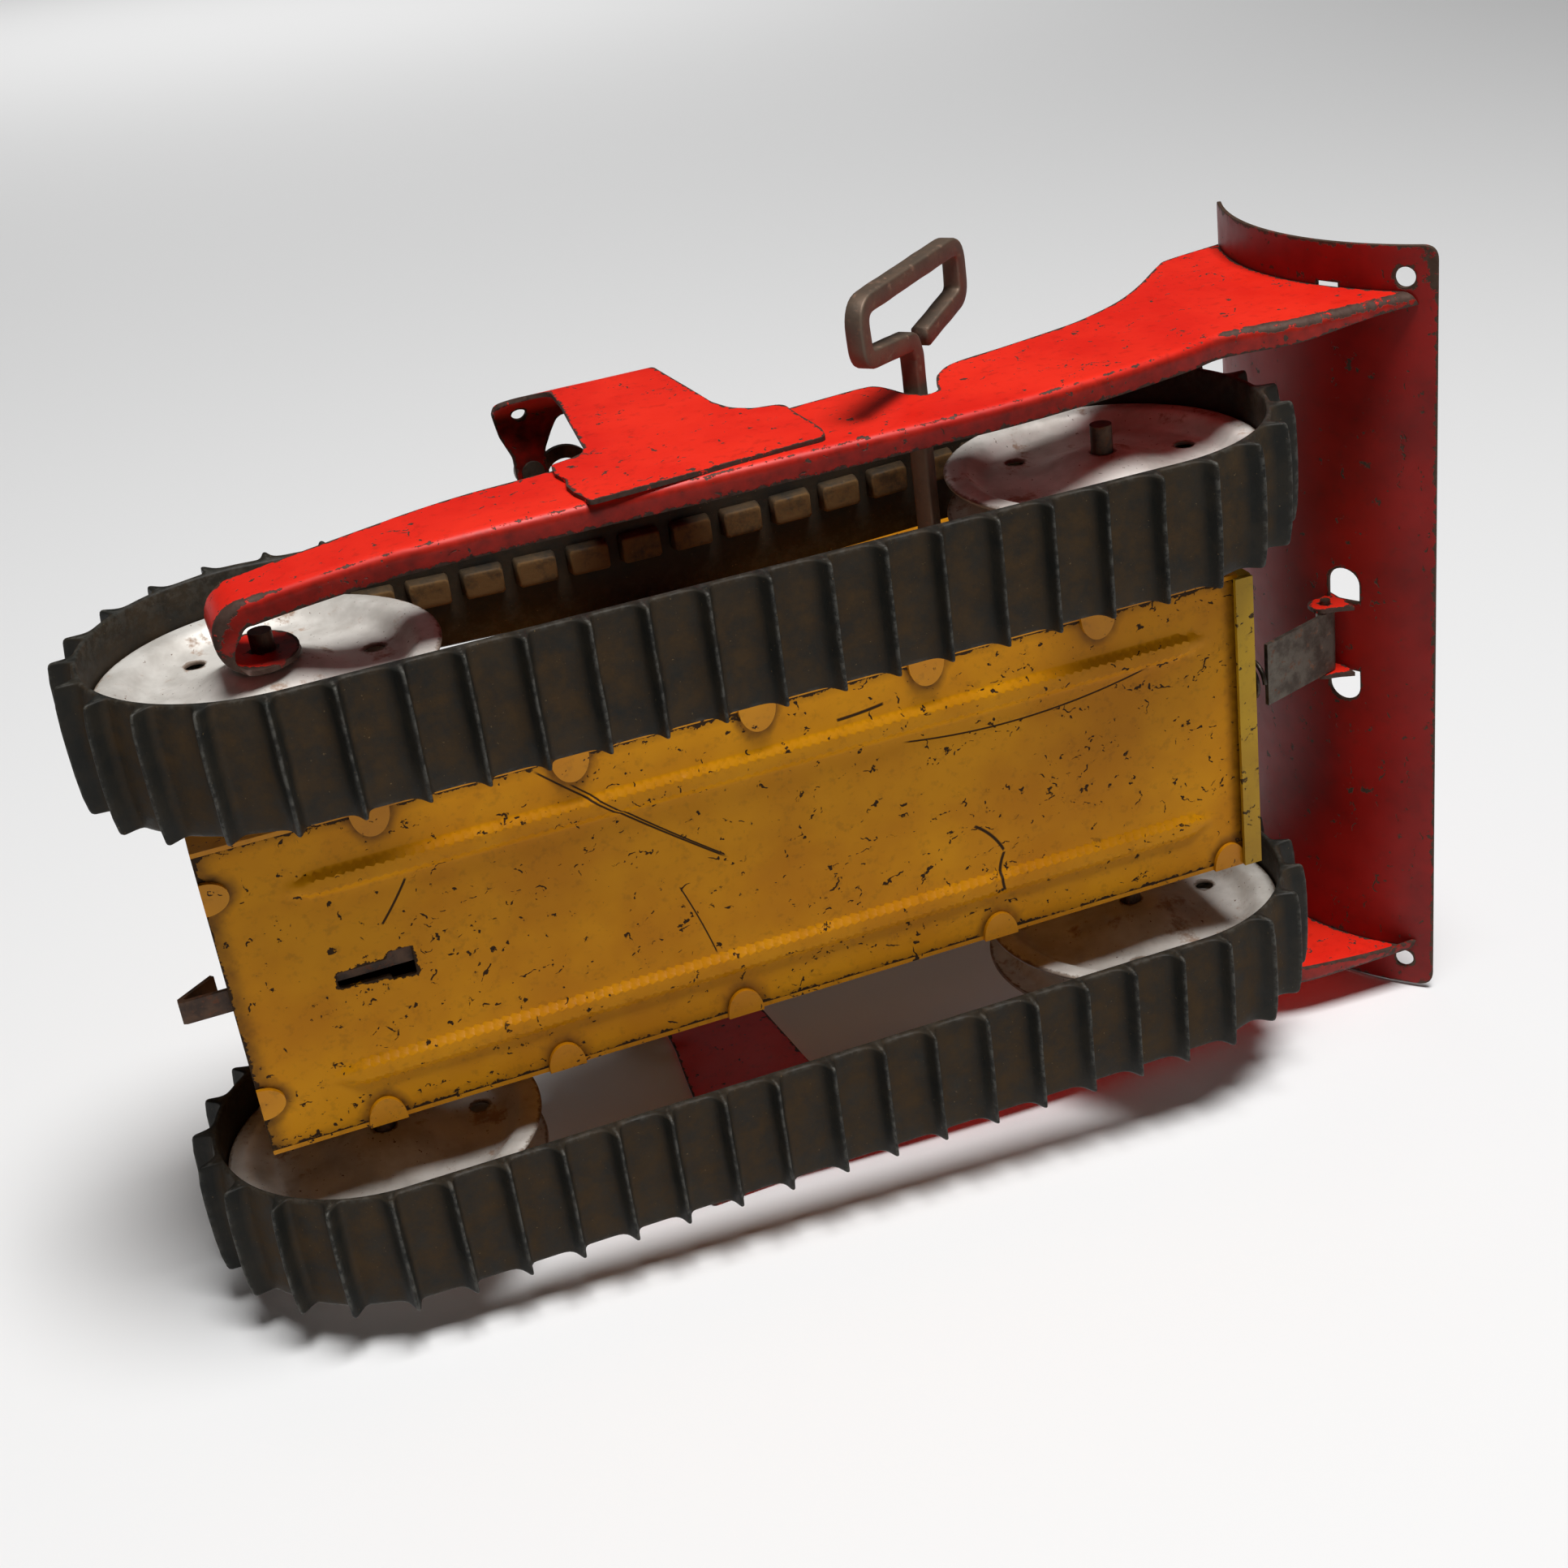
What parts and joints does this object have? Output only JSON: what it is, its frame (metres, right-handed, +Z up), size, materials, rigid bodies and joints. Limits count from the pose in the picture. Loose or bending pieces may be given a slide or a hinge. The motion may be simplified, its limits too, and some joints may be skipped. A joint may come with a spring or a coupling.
{
  "type": "toy crawler bulldozer",
  "caption": "Clockwork pressed-steel toy crawler with finned rubber tracks, a hinged front blade on long side arms, a winding key and a stop lever.",
  "frame": {"origin": "centre of the base plate's flat underside, midway between its ends and its long edges", "axes": "+X forwards to the blade, +Y to the driver's left, +Z up out of the hood"},
  "size_m": [0.2997, 0.204, 0.1081],
  "materials": {
    "yellow_enamel": "worn gloss",
    "lemon_enamel": "worn gloss",
    "red_enamel": "worn gloss",
    "track_rubber": "dusty matt",
    "wheel_steel": "satin with rust",
    "rusty_steel": "rusted",
    "plain_steel": "dull",
    "spring_steel": "blued",
    "motor_brass": "satin"
  },
  "bodies": {
    "tractor": {"base_plate": "yellow_enamel", "body_shell": "yellow_enamel", "front_grille": "lemon_enamel", "driver_seat": "yellow_enamel", "right_track_belt": "track_rubber", "left_track_belt": "track_rubber", "right_motor_plate": "plain_steel", "left_motor_plate": "plain_steel", "motor_pillars": "plain_steel", "mainspring": "spring_steel", "link_spring": "spring_steel", "spring_rivet": "plain_steel"},
    "rear_wheels": {"rear_right_outer_disc": "wheel_steel", "rear_right_inner_disc": "wheel_steel", "rear_left_outer_disc": "wheel_steel", "rear_left_inner_disc": "wheel_steel", "rear_hub_sleeves": "plain_steel", "rear_axle": "rusty_steel", "rear_axle_washers": "plain_steel"},
    "front_wheels": {"front_right_outer_disc": "wheel_steel", "front_right_inner_disc": "wheel_steel", "front_left_outer_disc": "wheel_steel", "front_left_inner_disc": "wheel_steel", "front_hub_sleeves": "plain_steel", "front_axle": "rusty_steel", "axle_pinion": "motor_brass"},
    "middle_shaft": {"middle_arbor": "plain_steel", "middle_pinion": "motor_brass", "middle_wheel": "motor_brass"},
    "great_wheel_set": {"great_wheel": "motor_brass", "click_stud": "plain_steel"},
    "click_pawl": {"ratchet_click": "plain_steel"},
    "governor_set": {"governor_arbor": "plain_steel", "governor_pinion": "motor_brass", "governor_disc": "plain_steel"},
    "winder": {"winding_key": "rusty_steel", "winding_arbor": "rusty_steel", "ratchet_wheel": "plain_steel"},
    "blade_frame": {"blade": "red_enamel", "link_pin": "rusty_steel", "left_push_arm": "red_enamel", "right_push_arm": "red_enamel", "left_lift_bracket": "red_enamel", "right_lift_bracket": "red_enamel", "tie_bar": "plain_steel", "tie_bar_rivets": "plain_steel"},
    "link_stay": {"centre_link": "plain_steel"},
    "stop_slide": {"stop_lever": "rusty_steel"}
  },
  "joints": [
    {"name": "front_axle_spin", "type": "hinge", "parent": "tractor", "child": "front_wheels", "pos_m": [0.093, 0, 0.0207], "axis": [0, 1, 0], "continuous": true},
    {"name": "rear_axle_spin", "type": "hinge", "parent": "tractor", "child": "rear_wheels", "pos_m": [-0.089, 0, 0.0207], "axis": [0, 1, 0], "continuous": true},
    {"name": "middle_shaft_spin", "type": "hinge", "parent": "tractor", "child": "middle_shaft", "pos_m": [0.07754, 0, 0.03906], "axis": [0, 1, 0], "continuous": true},
    {"name": "great_wheel_spin", "type": "hinge", "parent": "tractor", "child": "great_wheel_set", "pos_m": [0.0538, 0, 0.0262], "axis": [0, 1, 0], "continuous": true},
    {"name": "governor_spin", "type": "hinge", "parent": "tractor", "child": "governor_set", "pos_m": [0.07372, 0, 0.06072], "axis": [0, 1, 0], "continuous": true},
    {"name": "key_wind", "type": "hinge", "parent": "tractor", "child": "winder", "pos_m": [0.0538, 0, 0.0262], "axis": [0, 1, 0], "continuous": true},
    {"name": "click_lift", "type": "hinge", "parent": "great_wheel_set", "child": "click_pawl", "pos_m": [0.0448, 0, 0.0357], "axis": [0, -1, 0], "range_deg": [0, 14], "stiffness_Nm_per_rad": 0.001, "springref_deg": -5.73},
    {"name": "blade_lift", "type": "hinge", "parent": "tractor", "child": "blade_frame", "pos_m": [-0.089, 0, 0.0207], "axis": [0, -1, 0], "range_deg": [-6.4, 0.6]},
    {"name": "link_swing", "type": "hinge", "parent": "blade_frame", "child": "link_stay", "pos_m": [0.151, 0, 0.0271], "axis": [0, -1, 0], "range_deg": [-52, 6]},
    {"name": "stop_lever_slide", "type": "slide", "parent": "tractor", "child": "stop_slide", "axis": [1, 0, 0], "range_m": [-0.004, 0.0015]}
  ],
  "couplings": [
    {"joint": "rear_axle_spin", "follows": "front_axle_spin", "ratio": 1},
    {"joint": "middle_shaft_spin", "follows": "front_axle_spin", "ratio": -0.33333},
    {"joint": "great_wheel_spin", "follows": "front_axle_spin", "ratio": 0.075758},
    {"joint": "governor_spin", "follows": "front_axle_spin", "ratio": 1.5},
    {"joint": "link_swing", "follows": "blade_lift", "ratio": 7.7}
  ]
}
